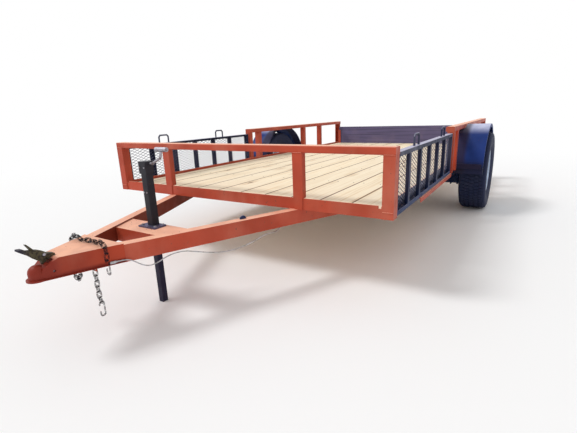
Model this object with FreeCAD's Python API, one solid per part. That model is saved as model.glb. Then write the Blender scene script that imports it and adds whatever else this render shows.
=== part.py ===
import FreeCAD, Part
import math
import os
from FreeCAD import Vector

# Utility trailer: a tube-railed flat bed on one axle, with a drop-leg jack, a side
# ramp stored on edge along each side, and a lift-out board across the rear.
# X runs across the trailer (+X is its left, road side), -Y points to the coupler,
# +Z is up and Z = 0 is the ground. Lengths are in millimetres. The functions below
# measure Y from the front face of the bed; save() moves the origin to mid-length.

# Bed
bed_length = 3734.0
bed_width = 2032.0
frame_bottom = 410.0
sill_tall = 63.5
sill_leg = 50.8
angle_wall = 4.8
pocket_deep = 50.8
sill_notch_long = 18.0
sill_notch_deep = 14.0
plank_thick = 38.1
plank_wide = 182.0
plank_gap = 1.5
deck_side_gap = 5.4
deck_end_gap = 1.5
cross_pitch = 610.0
cross_tall = 76.2
cross_cope = 10.0

# Rails and posts
front_rail_top = 750.0
side_rail_top = 768.0
rail_tall = 38.1
rail_deep = 63.5
tube_wall = 3.2
tube_corner = 6.4
upright_x = 501.0
upright_wide = 63.5
upright_deep = 38.1
strap_wide = 54.0
corner_post = 57.15
side_rail_front = 1500.0
side_post_size = 50.8
side_post_places = (0.0, 160.0, 1130.0, 1580.0)

# Side ramps
ramp_front = 68.5
ramp_rear = 1480.0
ramp_top = 718.0
ramp_thick = 38.1
ramp_leg = 22.0
ramp_wall = 3.2
ramp_side_gap = 5.0
seat_gap = 0.3
rung_count = 5
rung_wide = 31.75
rung_deep = 25.4
mesh_thick = 3.0
mesh_cell_long = 165.0
mesh_cell_tall = 68.0
mesh_strand = 9.0
handle_rod = 12.7
handle_wide = 105.0
handle_tall = 66.0
left_handles = (395.0, 1120.0)
right_handles = (340.0, 995.0)
ledge_lip_front = 530.0
ledge_lip_tall = 27.0
ledge_inset = 18.0

# Rear board
board_tall = 235.0
board_thick = 38.1
board_gap = 5.0
bracket_reach = 36.0
bracket_tall = 190.0

# Tongue, coupler and jack
tongue_half_angle = 24.2
tongue_spread = 500.0
tongue_tall = 76.2
tongue_wide = 50.8
tongue_wall = 4.8
tongue_front = -905.0
ball_y = -1082.0
ball_z = 366.0
ball_radius = 25.4
ball_clearance = 0.5
socket_wall = 5.0
socket_skirt = 22.0
lip_flare = 9.0
lip_thick = 6.0
coupler_plate = 6.0
coupler_side = 3.0
coupler_rear = -805.0
coupler_side_tall = 78.0
coupler_flange = 9.0
neck_back = 10.0
neck_rise = 20.0
neck_long = 50.0
neck_hole = 5.0
latch_half = 13.0
latch_prong_half = 5.0
latch_foot_half = 9.0
latch_hole = 3.5
chain_rod = 5.5
chain_inner_long = 26.0
chain_inner_wide = 11.0
chain_slack = 0.2
eye_x = 59.0
eye_y = -897.0
eye_wide = 26.0
eye_drop = 17.5
hook_half = 32.0
harness_thick = 5.0
plug_long = 36.0
plug_wide = 8.0
plug_tall = 10.0
jack_y = -540.0
bridge_front = -640.0
bridge_rear = -500.0
bridge_thick = 6.0
bridge_drop = 8.0
jack_outer = 40.0
jack_wall = 4.5
jack_bottom = 300.0
jack_head_bottom = 661.0
jack_top = 718.0
jack_head = 47.0
jack_flange = 118.0
jack_flange_thick = 8.0
crank_radius = 6.0
crank_z = 706.0
crank_reach = 90.0
crank_rise = 56.0
grip_radius = 11.0
grip_long = 72.0
leg_size = 30.0
leg_wall = 3.2
leg_long = 495.0
leg_sole = 6.0

# Running gear
axle_y = 2185.0
tyre_radius = 344.0
tyre_width = 216.0
tyre_gap = 3.0
rim_radius = 190.5
rim_flange_tall = 16.0
rim_flange_wide = 6.0
bead_half = 80.0
beam_radius = 30.15
axle_drop = 100.0
arm_thick = 25.0
arm_gap = 30.0
spindle_radius = 17.0
running_gap = 0.3
hub_reach = 52.0
hub_radius = 38.0
hub_flange_radius = 74.0
hub_flange_thick = 8.0
hub_cap_radius = 30.0
hub_cap_long = 34.0
stud_circle = 114.3
nut_radius = 11.0
nut_long = 12.0
stud_count = 5
disc_thick = 4.0
disc_offset = 6.0
disc_dish = 16.0
window_count = 8
spring_half = 320.0
spring_arch = 60.0
spring_eye_z = 365.0
spring_width = 44.5
leaf_thick = 7.0
leaf_count = 4
leaf_step = 0.22
eye_radius = 14.0
eye_bolt = 7.0
hanger_wall = 5.0
hanger_wide = 46.0
shackle_long = 55.0
shackle_wide = 26.0
clamp_rod = 6.0
clamp_plate = 8.0
clamp_margin = 6.0

# Fenders and lamps
fender_radius = 417.0
fender_thick = 2.5
fender_width = 193.0
fender_skirt = 30.0
fender_foot_z = 368.0
brace_tall = 40.0
brace_thick = 6.0
lamp_x = 775.0
lamp_wide = 150.0
lamp_tall = 70.0
lamp_deep = 34.0
lamp_corner = 12.0
lamp_plate = 4.0
lamp_drop = 8.0

bed_half = bed_width / 2
sill_face = bed_half - pocket_deep
sill_inner = sill_face - angle_wall
sill_top = frame_bottom + sill_tall
deck_bottom = frame_bottom + angle_wall
deck_top = deck_bottom + plank_thick
nose_y = ball_y - ball_radius - ball_clearance - socket_wall - lip_flare
middle_y = (nose_y + bed_length) / 2
wheel_x = bed_half + tyre_gap + tyre_width / 2
spring_x = sill_face - sill_leg / 2
axle_z = tyre_radius
beam_z = axle_z - axle_drop
slope = math.tan(math.radians(tongue_half_angle))
across = math.cos(math.radians(tongue_half_angle))
tongue_bottom = frame_bottom - tongue_tall
X_AXIS = Vector(1, 0, 0)
Y_AXIS = Vector(0, 1, 0)
Z_AXIS = Vector(0, 0, 1)


def box(x0, x1, y0, y1, z0, z1):
    return Part.makeBox(x1 - x0, y1 - y0, z1 - z0, Vector(x0, y0, z0))


def rod(x, y, z, radius, length, axis):
    return Part.makeCylinder(radius, length, Vector(x, y, z), axis)


def prism(points, along):
    wire = Part.makePolygon([Vector(*p) for p in points] + [Vector(*points[0])])
    return Part.Face(wire).extrude(along)


def edges_along(shape, axis):
    found = []
    for edge in shape.Edges:
        run = edge.Vertexes[-1].Point - edge.Vertexes[0].Point
        if run.Length > 0 and run.cross(axis).Length < 1e-6 * run.Length:
            found.append(edge)
    return found


# Welded steel tube with rounded corners, open at both ends.
def tube(x0, x1, y0, y1, z0, z1, axis, wall, corner):
    outer = box(x0, x1, y0, y1, z0, z1)
    if corner > 0:
        outer = outer.makeFillet(corner, edges_along(outer, axis))
    dx = wall * (1 - abs(axis.x))
    dy = wall * (1 - abs(axis.y))
    dz = wall * (1 - abs(axis.z))
    return outer.cut(box(x0 + dx, x1 - dx, y0 + dy, y1 - dy, z0 + dz, z1 - dz))


def fuse(shapes):
    result = shapes[0]
    for shape in shapes[1:]:
        result = result.fuse(shape)
    return result.removeSplitter()


def other_side(shape):
    return shape.mirror(Vector(0, 0, 0), X_AXIS)


def both_sides(shape):
    return Part.makeCompound([shape, other_side(shape)])


def save(name, shape):
    placed = shape.copy()
    placed.translate(Vector(0, -middle_y, 0))
    placed.exportStep("parts/" + name + ".step")


def save_pair(name, shape):
    save(name + "_left", shape)
    save(name + "_right", other_side(shape))


# Bed frame: steel angle all round, its upright leg outside and its level leg turned
# in under the deck. The end sills run to the corner posts that wrap them.
def end_sill(face_y, inward):
    half = bed_half - angle_wall
    web_y = sorted((face_y, face_y + inward * angle_wall))
    leg_y = sorted((face_y, face_y + inward * sill_leg))
    web = box(-half, half, web_y[0], web_y[1], frame_bottom, sill_top)
    leg = box(-half, half, leg_y[0], leg_y[1], frame_bottom, deck_bottom)
    notch_x = bed_half - corner_post
    notch = box(notch_x - sill_notch_long, notch_x, web_y[0], web_y[1], sill_top - sill_notch_deep, sill_top)
    return fuse([web, leg]).cut(both_sides(notch))


def side_sill(front, rear):
    y0 = 2 * angle_wall
    y1 = bed_length - y0
    web = box(sill_inner, sill_face, y0, y1, frame_bottom, sill_top)
    leg = box(sill_face - sill_leg, sill_face, y0, y1, frame_bottom, deck_bottom)
    return fuse([web, leg]).cut(front).cut(rear)


def crossmembers():
    half = sill_face - sill_leg
    count = int(bed_length / cross_pitch - 0.5)
    pieces = []
    for i in range(count):
        y = cross_pitch * (i + 1)
        leg = box(-half, half, y, y + sill_leg, frame_bottom, deck_bottom)
        web_half = half - cross_cope
        web = box(-web_half, web_half, y, y + angle_wall, deck_bottom - cross_tall, deck_bottom)
        pieces.append(fuse([leg, web]))
    return Part.makeCompound(pieces)


# Deck: pine planks laid from the road side, the last one ripped to fit.
def deck():
    left = sill_inner - deck_side_gap
    y0 = 2 * angle_wall + deck_end_gap
    y1 = bed_length - y0
    planks = []
    x = left
    while x > -left + plank_gap:
        edge = max(x - plank_wide, -left)
        planks.append(box(edge, x, y0, y1, deck_bottom, deck_top))
        x = edge - plank_gap
    return Part.makeCompound(planks)


# Front rail: rectangular tube laid flat on two square corner posts and two tube
# uprights. Each post is an angle that wraps the bed's corner, closed to a tube above
# it. The front wall of each upright runs on down over the sill as a strap.
def front_rail():
    z0 = front_rail_top - rail_tall
    return tube(-bed_half, bed_half, 0, rail_deep, z0, front_rail_top, X_AXIS, tube_wall, tube_corner)


def corner_angle(y0, y1, face_y0, top):
    outer = bed_half
    face = box(outer - corner_post, outer, face_y0, face_y0 + angle_wall, frame_bottom, top)
    side = box(outer - angle_wall, outer, y0, y1, frame_bottom, top)
    return fuse([face, side])


def front_posts():
    top = front_rail_top - rail_tall
    inner = bed_half - corner_post
    post = tube(inner, bed_half, 0, corner_post, sill_top, top, Z_AXIS, angle_wall, 0)
    corner = fuse([corner_angle(0, corner_post, 0, top), post])
    x0 = upright_x - upright_wide / 2
    x1 = x0 + upright_wide
    upright = tube(x0, x1, 0, upright_deep, sill_top, top, Z_AXIS, angle_wall, tube_corner)
    strap = box(x1 - strap_wide, x1 - tube_corner, 0, angle_wall, frame_bottom, sill_top)
    return Part.makeCompound([both_sides(corner), both_sides(fuse([upright, strap]))])


# Side rails: the same tube on short posts round each wheel, from the end of the
# ramp to the rear corner.
def side_rail():
    z0 = side_rail_top - rail_tall
    x0 = bed_half - rail_deep
    return tube(x0, bed_half, side_rail_front, bed_length, z0, side_rail_top, Y_AXIS, tube_wall, tube_corner)


def rail_caps():
    caps = []
    z0 = front_rail_top - rail_tall + tube_wall
    caps.append(box(bed_half - tube_wall, bed_half, tube_wall, rail_deep - tube_wall, z0,
                    front_rail_top - tube_wall))
    z0 = side_rail_top - rail_tall + tube_wall
    x0 = bed_half - rail_deep + tube_wall
    for y in (side_rail_front, bed_length - tube_wall):
        caps.append(box(x0, bed_half - tube_wall, y, y + tube_wall, z0, side_rail_top - tube_wall))
    return both_sides(Part.makeCompound(caps))


def side_posts():
    top = side_rail_top - rail_tall
    posts = []
    for place in side_post_places:
        y0 = side_rail_front + place
        y1 = y0 + side_post_size
        posts.append(tube(sill_face, sill_face + side_post_size, y0, y1, frame_bottom, top, Z_AXIS,
                          tube_wall, 0))
    posts.append(corner_angle(bed_length - corner_post, bed_length, bed_length - angle_wall, top))
    return Part.makeCompound(posts)


# Side ramp: an angle frame with upright angle rungs, expanded metal on their inner
# edges and two rod handles on the top. It stands on a ledge outside the side sill.
ramp_outer = sill_face + ramp_side_gap + ramp_thick
ramp_bottom = frame_bottom + seat_gap
rung_pitch = (ramp_rear - ramp_front - ramp_leg) / (rung_count + 1)


def ramp_frame(handles):
    x0 = ramp_outer - ramp_thick
    x1 = ramp_outer
    z0 = ramp_bottom
    wall = ramp_wall
    outer = box(x0, x1, ramp_front, ramp_rear, z0, ramp_top)
    inside = box(x0, x1 - wall, ramp_front + wall, ramp_rear - wall, z0 + wall, ramp_top - wall)
    window = box(x0, x1, ramp_front + ramp_leg, ramp_rear - ramp_leg, z0 + ramp_leg, ramp_top - ramp_leg)
    pieces = [outer.cut(inside).cut(window)]
    for i in range(rung_count):
        y1 = ramp_front + rung_pitch * (i + 1)
        y0 = y1 - rung_wide
        face = box(x1 - wall, x1, y0, y1, z0 + wall, ramp_top - wall)
        leg = box(x1 - rung_deep, x1, y1 - wall, y1, z0 + wall, ramp_top - wall)
        pieces.append(fuse([face, leg]))
    for place in handles:
        pieces.append(ramp_handle(ramp_front + place))
    return fuse(pieces)


def bent_rod(points, radius, sides):
    wire = Part.makePolygon([Vector(*p) for p in points])
    start = Vector(*points[0])
    along = Vector(*points[1]) - start
    turn = FreeCAD.Rotation(Z_AXIS, along)
    ring = []
    for i in range(sides + 1):
        angle = 2 * math.pi * (i + 0.5) / sides
        ring.append(start + turn.multVec(Vector(radius * math.cos(angle), radius * math.sin(angle), 0)))
    return wire.makePipeShell([Part.makePolygon(ring)], True, False, 1)


def ramp_handle(y):
    x = ramp_outer - ramp_thick / 2
    radius = handle_rod / 2
    half = handle_wide / 2 - radius
    top = ramp_top + handle_tall - radius
    bend = handle_rod
    bottom = ramp_top - ramp_wall / 2
    return bent_rod([(x, y - half, bottom), (x, y - half, top - bend), (x, y - half + bend, top),
                     (x, y + half - bend, top), (x, y + half, top - bend), (x, y + half, bottom)], radius, 8)


def ramp_mesh():
    x1 = ramp_outer - rung_deep
    x0 = x1 - mesh_thick
    y0 = ramp_front + ramp_wall
    y1 = ramp_rear - ramp_wall
    z0 = ramp_bottom + ramp_wall
    z1 = ramp_top - ramp_wall
    sheet = box(x0, x1, y0, y1, z0, z1)
    half_long = mesh_cell_long / 2 - mesh_strand
    half_tall = (mesh_cell_tall - mesh_strand) / 2
    columns = int((y1 - y0) / mesh_cell_long) * 2 - 1
    rows = int((z1 - z0) / mesh_cell_tall) * 2 - 1
    holes = []
    for c in range(columns):
        for r in range(c % 2, rows, 2):
            y = (y0 + y1) / 2 + (c - (columns - 1) / 2) * mesh_cell_long / 2
            z = (z0 + z1) / 2 + (r - (rows - 1) / 2) * mesh_cell_tall / 2
            corners = [(x0, y - half_long, z), (x0, y, z - half_tall), (x0, y + half_long, z),
                       (x0, y, z + half_tall)]
            holes.append(prism(corners, Vector(mesh_thick, 0, 0)))
    return sheet.cut(Part.makeCompound(holes))


def ramp_ledge():
    z0 = frame_bottom - angle_wall
    inner = sill_face - sill_leg
    shelf = box(inner, bed_half - ledge_inset, corner_post, side_rail_front, z0, frame_bottom)
    wide = box(inner, bed_half, ledge_lip_front, side_rail_front, z0, frame_bottom)
    lip = box(bed_half - angle_wall, bed_half, ledge_lip_front, side_rail_front,
              frame_bottom - ledge_lip_tall, frame_bottom)
    return fuse([shelf, wide, lip])


# Rear board: a full-width plank on the deck, held in a channel bracket on each side.
board_y1 = bed_length - 2 * angle_wall - board_gap


def board_brackets(sill):
    x1 = sill_inner
    x0 = x1 - bracket_reach
    y1 = bed_length - angle_wall
    y0 = board_y1 - board_thick - board_gap - angle_wall
    z1 = deck_top + bracket_tall
    outer = box(x0, x1, y0, y1, deck_top, z1)
    slot = box(x0, x1 - angle_wall, y0 + angle_wall, y1 - angle_wall, deck_top, z1)
    return both_sides(outer.cut(slot).cut(sill))


def rear_board():
    half = sill_inner - angle_wall - board_gap
    z0 = deck_top + seat_gap
    return box(-half, half, board_y1 - board_thick, board_y1, z0, z0 + board_tall)


# Tongue: two rectangular tubes that run from the first crossmember, under the front
# sill, and close to the coupler.
def tongue_beam():
    start = tongue_front / across - tongue_wide
    length = cross_pitch / across - start + tongue_wide
    beam = tube(-tongue_wide, 0, start, start + length, tongue_bottom, frame_bottom, Y_AXIS, tongue_wall, 0)
    beam.rotate(Vector(0, 0, 0), Z_AXIS, -tongue_half_angle)
    beam.translate(Vector(tongue_spread, 0, 0))
    beam = beam.common(box(0, bed_half, tongue_front, cross_pitch, 0, frame_bottom))
    low = tongue_bottom - eye_drop
    left = eye_x - eye_wide / 2
    right = eye_x + eye_wide / 2
    eye = bent_rod([(left, eye_y, tongue_bottom), (left, eye_y, low), (right, eye_y, low),
                    (right, eye_y, tongue_bottom)], chain_rod / 2, 8)
    return beam.fuse(eye)


def tongue_outside(y):
    return tongue_spread + y * slope


def tongue_inside(y):
    return tongue_outside(y) - tongue_wide / across


def jack_bridge():
    y0 = bridge_front
    y1 = bridge_rear
    top = frame_bottom - bridge_drop
    corners = [(-tongue_inside(y0), y0, top), (tongue_inside(y0), y0, top),
               (tongue_inside(y1), y1, top), (-tongue_inside(y1), y1, top)]
    plate = prism(corners, Vector(0, 0, -bridge_thick))
    half = tongue_inside(y0)
    front = box(-half, half, y0, y0 + bridge_thick, tongue_bottom, top)
    rear = box(-half, half, y1 - bridge_thick, y1, tongue_bottom, top)
    hole = jack_outer / 2 + seat_gap
    opening = box(-hole, hole, jack_y - hole, jack_y + hole, tongue_bottom, top)
    return fuse([plate, front, rear]).cut(opening)


# Coupler: a pressed shell over the tongue's end, flanged along its lower edge, with
# a socket for a 50.8 mm ball below its nose.
def coupler_outline(grow, z):
    outer = ball_radius + ball_clearance + socket_wall + grow
    rear_half = tongue_outside(coupler_rear) + coupler_side + grow
    a = Vector(rear_half, coupler_rear, z)
    b = Vector(outer, ball_y, z)
    c = Vector(-outer, ball_y, z)
    d = Vector(-rear_half, coupler_rear, z)
    nose = Vector(0, ball_y - outer, z)
    edges = [Part.makeLine(a, b), Part.Arc(b, nose, c).toShape(), Part.makeLine(c, d), Part.makeLine(d, a)]
    return Part.Face(Part.Wire(edges))


def coupler_body():
    inner = ball_radius + ball_clearance
    outer = inner + socket_wall
    top = frame_bottom + coupler_plate
    bottom = top - coupler_side_tall
    rear_half = tongue_outside(coupler_rear) + coupler_side
    shell = coupler_outline(0, bottom).extrude(Vector(0, 0, coupler_side_tall))
    flange = coupler_outline(coupler_flange, bottom).extrude(Vector(0, 0, coupler_side))
    front_y = ball_y - 2 * outer
    neck = [(front_y, ball_z), (ball_y, ball_z), (ball_y + neck_back, ball_z + neck_rise),
            (ball_y + neck_back + neck_long, top), (ball_y + neck_back + neck_long, top + outer),
            (front_y, top + outer)]
    wedge = prism([(-rear_half, y, z) for y, z in neck], Vector(2 * rear_half, 0, 0))
    room_front = ball_y + outer
    room_half = tongue_outside(room_front)
    tongue_half = tongue_outside(coupler_rear)
    room = [(-room_half, room_front, 0), (room_half, room_front, 0),
            (tongue_half, coupler_rear, 0), (-tongue_half, coupler_rear, 0)]
    shell = fuse([shell, flange]).cut(wedge).cut(prism(room, Vector(0, 0, frame_bottom)))
    socket_bottom = ball_z - socket_skirt
    shoulder = math.sqrt(0.5)
    dome = Part.makeSphere(outer, Vector(0, ball_y, ball_z), Z_AXIS, 0, 90, 360)
    skirt = rod(0, ball_y, socket_bottom, outer, socket_skirt, Z_AXIS)
    lip = rod(0, ball_y, socket_bottom - lip_thick, outer + lip_flare, lip_thick, Z_AXIS)
    cup = Part.makeCone(inner, inner * shoulder, inner * shoulder, Vector(0, ball_y, ball_z))
    bore = rod(0, ball_y, 0, inner, ball_z, Z_AXIS)
    pin_hole = rod(-rear_half, room_front + 2 * neck_hole, ball_z, neck_hole, 2 * rear_half, X_AXIS)
    return fuse([shell, dome, skirt, lip]).cut(cup).cut(bore).cut(pin_hole)


# Latch: it stands open on the coupler's neck, its cast lever pointing forward over
# the nose and the trigger's prong above it.
def coupler_latch():
    top = frame_bottom + coupler_plate

    def plate(outline, half):
        return prism([(-half, ball_y + y, top + z) for y, z in outline], Vector(2 * half, 0, 0))

    lever = plate([(-50, 50), (-48, 56), (-33, 54), (-18, 43), (2, 40), (18, 35), (36, 25), (38, 14), (26, 0),
                   (14, -8), (-1, 5), (-16, 22), (-39, 40)], latch_half)
    prong = plate([(-22, 68), (-15, 66), (6, 38), (-6, 38)], latch_prong_half)
    slope_y = neck_back + neck_long
    slope_z = ball_z + neck_rise - top
    fall = -slope_z / neck_long
    low = [(y, (y - slope_y) * fall + seat_gap) for y in (21, 42)]
    foot = plate(low + [(38, 14), (20, -4)], latch_foot_half)
    ear = plate([low[1], (slope_y, seat_gap), (slope_y + 10, seat_gap), (slope_y + 10, 8), (54, 14),
                 (36, 16)], latch_half)
    hole = rod(-latch_half, ball_y + 31, top + 15, latch_hole, 2 * latch_half, X_AXIS)
    return fuse([lever, prong, foot, ear]).cut(hole)


# Safety chains: welded links from an eye under each tongue beam. The left one hangs
# down; the right one is thrown over the coupler. An open S-hook ends each.
def chain_joints(points):
    pitch = chain_inner_long - chain_slack
    curve = Part.BSplineCurve()
    curve.interpolate([Vector(*p) for p in points])
    end = curve.LastParameter
    window = 1.5 * pitch / curve.length() * end
    at = curve.FirstParameter
    joints = [curve.value(at)]
    while (curve.value(end) - joints[-1]).Length > pitch:
        low = at
        high = min(at + window, end)
        for _ in range(40):
            at = (low + high) / 2
            if (curve.value(at) - joints[-1]).Length < pitch:
                low = at
            else:
                high = at
        joints.append(curve.value(at))
    return joints


def chain_link(a, b, wide):
    along = (b - a).normalize()
    wide = (wide - along * wide.dot(along)).normalize()
    normal = along.cross(wide)
    middle = (a + b) / 2
    radius = chain_rod / 2
    end = chain_inner_long / 2 + radius
    side = chain_inner_wide / 2 + radius
    corner = side * 0.5
    outline = [(corner - end, side), (end - corner, side), (end, side - corner), (end, corner - side),
               (end - corner, -side), (corner - end, -side), (-end, corner - side), (-end, side - corner)]
    path = [middle + along * u + wide * v for u, v in outline]
    ring = []
    for i in range(7):
        angle = math.pi * i / 3
        ring.append(path[0] + (wide * math.cos(angle) + normal * math.sin(angle)) * radius)
    return Part.makePolygon(path + path[:1]).makePipeShell([Part.makePolygon(ring)], True, False, 1)


def s_hook(joint, across):
    radius = chain_rod / 2
    top = joint.z + radius + chain_slack / 2
    half = hook_half
    bend = [(-10, half - 14), (-10, half - 6), (-4, half), (4, half), (10, half - 6), (10, 10)]
    outline = bend + [(-u, -v) for u, v in bend]
    path = [joint + across * u + Vector(0, 0, top - half - joint.z + v) for u, v in outline]
    return bent_rod([tuple(p) for p in path], radius, 6)


def safety_chain(points):
    joints = chain_joints(points)
    links = []
    for i in range(len(joints) - 1):
        along = joints[i + 1] - joints[i]
        wide = Y_AXIS if i % 2 == 0 else along.cross(Y_AXIS)
        links.append(chain_link(joints[i], joints[i + 1], wide))
    hook_across = X_AXIS if len(links) % 2 == 1 else Y_AXIS
    return Part.makeCompound(links + [s_hook(joints[-1], hook_across)])


eye_joint = tongue_bottom - eye_drop + (chain_rod + chain_slack) / 2
lay_z = frame_bottom + coupler_plate + chain_inner_wide / 2 + chain_rod + seat_gap
left_chain = [(eye_x, eye_y, eye_joint), (56, -896, 262), (51, -893, 203), (50, -886, 148)]
right_chain = [(-eye_x, eye_y, eye_joint), (-62, -896, 288), (-76, -893, 256), (-106, -888, 238),
               (-138, -881, 250), (-156, -875, 284), (-158, -870, 330), (-152, -868, 380),
               (-133, -868, 420), (-95, -870, lay_z + 10), (-50, -874, lay_z + 1.2), (10, -864, lay_z + 1.2),
               (60, -868, lay_z + 1.2), (95, -873, lay_z + 10), (129, -880, 421), (143, -886, 387),
               (141, -890, 358)]


# Lamp harness: one grey cable from its flat plug, which lies on the coupler's flange,
# in two swags under the left tongue beam and up into it.
harness_points = [(137.4, -832, 348.3), (147.3, -807, 348.3), (156, -783, 336), (163, -757, 312),
                  (175, -727, 294), (190, -694, 298), (206, -660, 316), (224, -618, 326), (240, -576, 324),
                  (256, -538, 312), (275, -494, 296), (300, -440, 280), (328, -384, 273), (357, -322, 277),
                  (383, -262, 290), (402, -210, 306), (413, -170, 313), (421, -136, 311), (429, -108, 310),
                  (434, -92, 320), (436, -85, 331.9)]


def cord_path(points):
    places = [Vector(*p) for p in points]
    edges = []
    radii = []
    last = places[0]
    for i in range(1, len(places) - 1):
        back = places[i - 1] - places[i]
        onward = places[i + 1] - places[i]
        reach = 0.45 * min(back.Length, onward.Length)
        half_turn = (math.pi - back.getAngle(onward)) / 2
        radius = reach / math.tan(half_turn)
        back.normalize()
        onward.normalize()
        inward = (back + onward).normalize()
        first = places[i] + back * reach
        second = places[i] + onward * reach
        middle = places[i] + inward * (radius / math.cos(half_turn) - radius)
        edges.append(Part.makeLine(last, first))
        edges.append(Part.Arc(first, middle, second).toShape())
        radii.append(radius)
        last = second
    edges.append(Part.makeLine(last, places[-1]))
    return Part.Wire(edges), radii


def harness_cord():
    path, radii = cord_path(harness_points)
    start = Vector(*harness_points[0])
    along = Vector(*harness_points[1]) - start
    turn = FreeCAD.Rotation(Z_AXIS, along)
    ring = []
    for i in range(7):
        angle = math.pi * i / 3
        ring.append(start + turn.multVec(Vector(math.cos(angle), math.sin(angle), 0)) * (harness_thick / 2))
    cord = path.makePipeShell([Part.makePolygon(ring)], True, True)
    section = 1.5 * math.sqrt(3) * (harness_thick / 2) ** 2
    print("harness: smallest radius %.1f mm, length %.1f mm, volume over section x length %.4f"
          % (min(radii), path.Length, cord.Volume / (section * path.Length)))
    return cord


def harness_plug():
    start = Vector(*harness_points[0])
    along = start - Vector(*harness_points[1])
    plug = box(-plug_wide / 2, plug_wide / 2, 0, plug_long, -plug_tall / 2, plug_tall / 2)
    plug = plug.makeFillet(plug_wide / 4, edges_along(plug, Y_AXIS))
    plug.Placement = FreeCAD.Placement(start, FreeCAD.Rotation(Y_AXIS, Vector(along.x, along.y, 0)))
    return plug


# Jack: a square drop leg in a square sleeve, with a side-wind crank.
def jack_sleeve():
    half = jack_outer / 2
    sleeve = tube(-half, half, jack_y - half, jack_y + half, jack_bottom, jack_head_bottom, Z_AXIS,
                  jack_wall, jack_wall)
    head = jack_head / 2
    cap = box(-head, head, jack_y - head, jack_y + head, jack_head_bottom, jack_top)
    room = half - jack_wall
    hollow = box(-room, room, jack_y - room, jack_y + room, jack_head_bottom, jack_top - jack_wall)
    return fuse([sleeve, cap.cut(hollow)])


def jack_collar():
    half = jack_flange / 2
    hole = jack_outer / 2
    z0 = frame_bottom - bridge_drop
    z1 = z0 + jack_flange_thick
    plate = box(-half, half, jack_y - half * 0.75, jack_y + half * 0.45, z0, z1)
    return plate.cut(box(-hole, hole, jack_y - hole, jack_y + hole, z0, z1))


def jack_crank():
    side = jack_head / 2
    y = jack_y + crank_radius
    end_x = side + crank_reach
    grip_z = crank_z + crank_rise + grip_radius
    arm = bent_rod([(side, y, crank_z), (side + 14, y, crank_z), (end_x - 14, y, crank_z + crank_rise / 2),
                    (end_x, y, grip_z)], crank_radius, 8)
    grip = bent_rod([(end_x - grip_long / 2, y, grip_z), (end_x + grip_long / 2, y, grip_z)], grip_radius, 8)
    return fuse([arm, grip])


def jack_leg():
    half = leg_size / 2
    leg = tube(-half, half, jack_y - half, jack_y + half, 0, leg_long, Z_AXIS, leg_wall, 0)
    sole = box(-half, half, jack_y - half, jack_y + half, 0, leg_sole)
    return fuse([leg, sole])


# Running gear: a drop axle below two leaf springs, hung from the side sills.
def spring_bottom():
    return spring_eye_z - spring_arch - leaf_thick / 2 - (leaf_count - 1) * leaf_thick


def axle():
    arm_x = wheel_x - hub_reach - arm_thick - arm_gap
    beam = rod(-arm_x, axle_y, beam_z, beam_radius, 2 * arm_x, X_AXIS)
    arm = box(arm_x, arm_x + arm_thick, axle_y - beam_radius, axle_y + beam_radius,
              beam_z - beam_radius, axle_z + beam_radius)
    spindle_x = arm_x + arm_thick
    length = wheel_x + disc_offset + hub_cap_long / 2 - spindle_x
    spindle = rod(spindle_x, axle_y, axle_z, spindle_radius, length, X_AXIS)
    half = spring_width / 2
    perch = box(spring_x - half, spring_x + half, axle_y - beam_radius, axle_y + beam_radius, beam_z,
                spring_bottom())
    side = fuse([arm, spindle, perch])
    return fuse([beam, side, other_side(side)])


def spring_curve():
    return (spring_half ** 2 + spring_arch ** 2) / (2 * spring_arch)


def spring_top(reach):
    radius = spring_curve()
    return spring_eye_z - spring_arch + radius - math.sqrt((radius - leaf_thick / 2) ** 2 - reach ** 2)


def leaf(radius, centre_z, half):
    inner = radius - leaf_thick / 2
    outer = radius + leaf_thick / 2
    angle = math.asin(half / radius)

    def at(r, a):
        return Vector(spring_x - spring_width / 2, axle_y + r * math.sin(a), centre_z - r * math.cos(a))

    wire = Part.Wire([Part.Arc(at(inner, -angle), at(inner, 0), at(inner, angle)).toShape(),
                      Part.makeLine(at(inner, angle), at(outer, angle)),
                      Part.Arc(at(outer, angle), at(outer, 0), at(outer, -angle)).toShape(),
                      Part.makeLine(at(outer, -angle), at(inner, -angle))])
    return Part.Face(wire).extrude(Vector(spring_width, 0, 0))


def leaf_spring():
    radius = spring_curve()
    centre_z = spring_eye_z - spring_arch + radius
    x0 = spring_x - spring_width / 2
    pieces = []
    for i in range(leaf_count):
        pieces.append(leaf(radius + i * leaf_thick, centre_z, spring_half * (1 - leaf_step * i)))
    holes = []
    for side in (-1, 1):
        y = axle_y + side * spring_half
        pieces.append(rod(x0, y, spring_eye_z, eye_radius, spring_width, X_AXIS))
        holes.append(rod(x0, y, spring_eye_z, eye_bolt + running_gap, spring_width, X_AXIS))
    return fuse(pieces).cut(Part.makeCompound(holes))


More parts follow.
